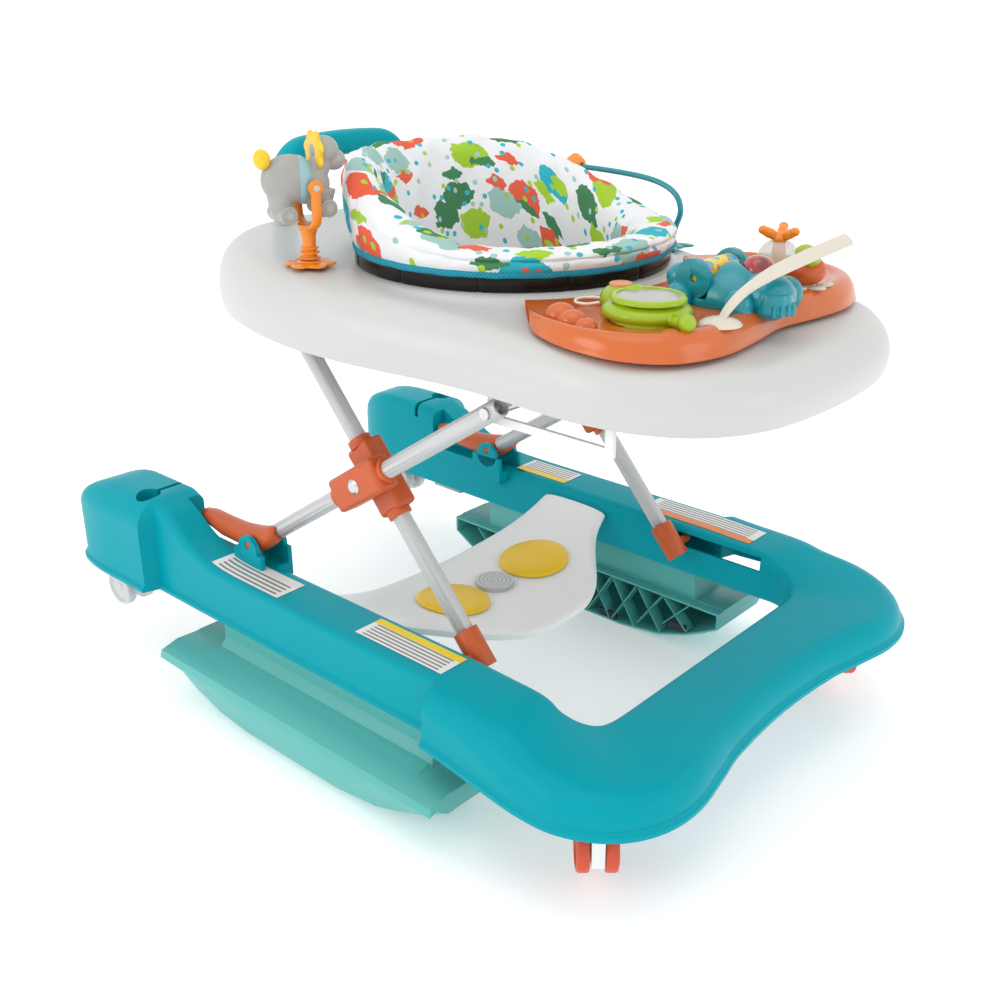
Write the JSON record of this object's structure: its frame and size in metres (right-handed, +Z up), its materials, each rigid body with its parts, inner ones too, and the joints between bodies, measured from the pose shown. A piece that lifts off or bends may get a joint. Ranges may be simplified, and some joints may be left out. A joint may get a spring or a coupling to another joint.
{
  "type": "baby walker",
  "caption": "Baby walker with a padded swivel seat in a play tray, on a folding scissor frame over a U-shaped rolling base with rocker rails and a footboard.",
  "frame": {"origin": "on the floor, under the centre of the overall box", "axes": "+Z up; the child faces -Y, so the play toys are at -Y and the push handle at +Y; +X is the child's left"},
  "size_m": [0.57, 0.8274, 0.5919],
  "materials": {
    "teal_plastic": "satin",
    "mint_plastic": "satin",
    "white_plastic": "satin",
    "orange_plastic": "gloss",
    "yellow_plastic": "satin",
    "lime_plastic": "gloss",
    "grey_plastic": "satin",
    "black_plastic": "satin",
    "red_plastic": "clear gloss",
    "cream_plastic": "soft",
    "painted_tube": "satin white",
    "steel": "satin",
    "printed_cloth": "printed polyester",
    "navy_cloth": "plain polyester"
  },
  "bodies": {
    "base": {"base_shell": "teal_plastic", "footrest_panel": "white_plastic", "footrest_disc": "grey_plastic", "stop_pad_rear_left": "grey_plastic", "stop_pad_rear_right": "grey_plastic", "stop_pad_front_left": "grey_plastic", "stop_pad_front_right": "grey_plastic", "foot_pad_left": "yellow_plastic", "foot_pad_right": "yellow_plastic", "rear_fork_left": "white_plastic", "rear_fork_right": "white_plastic"},
    "rocker_l": {"rocker_left": "mint_plastic"},
    "rocker_r": {"rocker_right": "mint_plastic"},
    "caster_l": {"caster_fork_left": "white_plastic"},
    "caster_r": {"caster_fork_right": "white_plastic"},
    "caster_wheel_l": {"caster_wheels_left": "orange_plastic"},
    "caster_wheel_r": {"caster_wheels_right": "orange_plastic"},
    "rear_wheel_l": {"rear_wheels_left": "grey_plastic"},
    "rear_wheel_r": {"rear_wheels_right": "grey_plastic"},
    "lift_frame": {"lift_tube_left": "painted_tube", "lift_tube_right": "painted_tube", "pivot_shoe_left": "orange_plastic", "pivot_shoe_right": "orange_plastic", "hub_outer_left": "orange_plastic", "hub_outer_right": "orange_plastic", "lift_crossbar": "steel"},
    "slide_frame": {"slide_tube_left": "painted_tube", "slide_tube_right": "painted_tube", "hub_inner_left": "orange_plastic", "hub_inner_right": "orange_plastic", "slider_cap_left": "orange_plastic", "slider_cap_right": "orange_plastic", "hub_rivet_left": "steel", "hub_rivet_right": "steel", "slide_crossbar": "steel"},
    "tray": {"tray_shell": "white_plastic", "tray_guide_left": "white_plastic", "tray_guide_right": "white_plastic", "tray_bracket_left": "white_plastic", "tray_bracket_right": "white_plastic", "push_handle": "teal_plastic", "toy_tray": "orange_plastic", "turtle_toy": "lime_plastic", "whale_toy": "teal_plastic", "leaf_stalk": "cream_plastic", "lime_ring": "lime_plastic", "pull_cord": "white_plastic", "yoke_base": "orange_plastic", "bead_arch": "teal_plastic"},
    "seat": {"seat_ring": "black_plastic", "seat_pad": "printed_cloth", "seat_sling": "navy_cloth"},
    "yoke": {"yoke": "orange_plastic"},
    "animal": {"rocking_animal": "grey_plastic"},
    "press_dome": {"press_dome": "red_plastic"},
    "picture_roller": {"picture_roller": "yellow_plastic"},
    "propeller": {"propeller": "orange_plastic"},
    "flower_spinner": {"flower_spinner": "orange_plastic"},
    "slide_bead": {"slide_bead": "orange_plastic"}
  },
  "joints": [
    {"name": "frame_fold", "type": "hinge", "parent": "base", "child": "lift_frame", "pos_m": [0, 0.14017, 0.17592], "axis": [1, 0, 0], "range_deg": [0, 29.6], "deforming": ["seat_sling"]},
    {"name": "scissor_cross", "type": "hinge", "parent": "lift_frame", "child": "slide_frame", "pos_m": [0, -0.021, 0.283], "axis": [1, 0, 0], "range_deg": [-63, 0]},
    {"name": "tray_level", "type": "hinge", "parent": "slide_frame", "child": "tray", "pos_m": [0, 0.10824, 0.43168], "axis": [1, 0, 0], "range_deg": [0, 33.4]},
    {"name": "seat_swivel", "type": "hinge", "parent": "tray", "child": "seat", "pos_m": [0, -0.049, 0.48], "axis": [0, 0, 1], "continuous": true},
    {"name": "yoke_swivel", "type": "hinge", "parent": "tray", "child": "yoke", "pos_m": [-0.17, 0.05, 0.47834], "axis": [0, 0, 1], "range_deg": [-15, 15]},
    {"name": "animal_tilt", "type": "hinge", "parent": "yoke", "child": "animal", "pos_m": [-0.17, 0.05, 0.55034], "axis": [0.2588, 0.9659, 0], "range_deg": [-15, 15]},
    {"name": "press_dome_push", "type": "slide", "parent": "tray", "child": "press_dome", "axis": [0, 0, -1], "range_m": [0, 0.003], "stiffness_N_per_m": 300},
    {"name": "picture_roller_spin", "type": "hinge", "parent": "tray", "child": "picture_roller", "pos_m": [-0.013, -0.284, 0.4943], "axis": [1, 0, 0], "continuous": true},
    {"name": "propeller_spin", "type": "hinge", "parent": "tray", "child": "propeller", "pos_m": [0.105, -0.278, 0.4828], "axis": [0, 0, 1], "continuous": true},
    {"name": "flower_spin", "type": "hinge", "parent": "tray", "child": "flower_spinner", "pos_m": [0.069, -0.326, 0.4828], "axis": [0, 0, 1], "continuous": true},
    {"name": "slide_bead_spin", "type": "hinge", "parent": "tray", "child": "slide_bead", "pos_m": [0.166, 0.008, 0.537], "axis": [0, 1, 0], "continuous": true},
    {"name": "rocker_left_slide", "type": "slide", "parent": "base", "child": "rocker_l", "axis": [0, 0, 1], "range_m": [0, 0.024]},
    {"name": "caster_left_swivel", "type": "hinge", "parent": "base", "child": "caster_l", "pos_m": [0.215, -0.335, 0.09], "axis": [0, 0, 1], "continuous": true},
    {"name": "caster_left_roll", "type": "hinge", "parent": "caster_l", "child": "caster_wheel_l", "pos_m": [0.22392, -0.32697, 0.042], "axis": [0.6691, -0.7431, 0], "continuous": true},
    {"name": "rear_left_roll", "type": "hinge", "parent": "base", "child": "rear_wheel_l", "pos_m": [0.225, 0.352, 0.067], "axis": [1, 0, 0], "continuous": true},
    {"name": "rocker_right_slide", "type": "slide", "parent": "base", "child": "rocker_r", "axis": [0, 0, 1], "range_m": [0, 0.024]},
    {"name": "caster_right_swivel", "type": "hinge", "parent": "base", "child": "caster_r", "pos_m": [-0.215, -0.335, 0.09], "axis": [0, 0, 1], "continuous": true},
    {"name": "caster_right_roll", "type": "hinge", "parent": "caster_r", "child": "caster_wheel_r", "pos_m": [-0.20608, -0.32697, 0.042], "axis": [0.6691, -0.7431, 0], "continuous": true},
    {"name": "rear_right_roll", "type": "hinge", "parent": "base", "child": "rear_wheel_r", "pos_m": [-0.225, 0.352, 0.067], "axis": [1, 0, 0], "continuous": true}
  ],
  "couplings": [
    {"joint": "scissor_cross", "follows": "frame_fold", "ratio": -2.125},
    {"joint": "tray_level", "follows": "frame_fold", "ratio": 1.125}
  ]
}
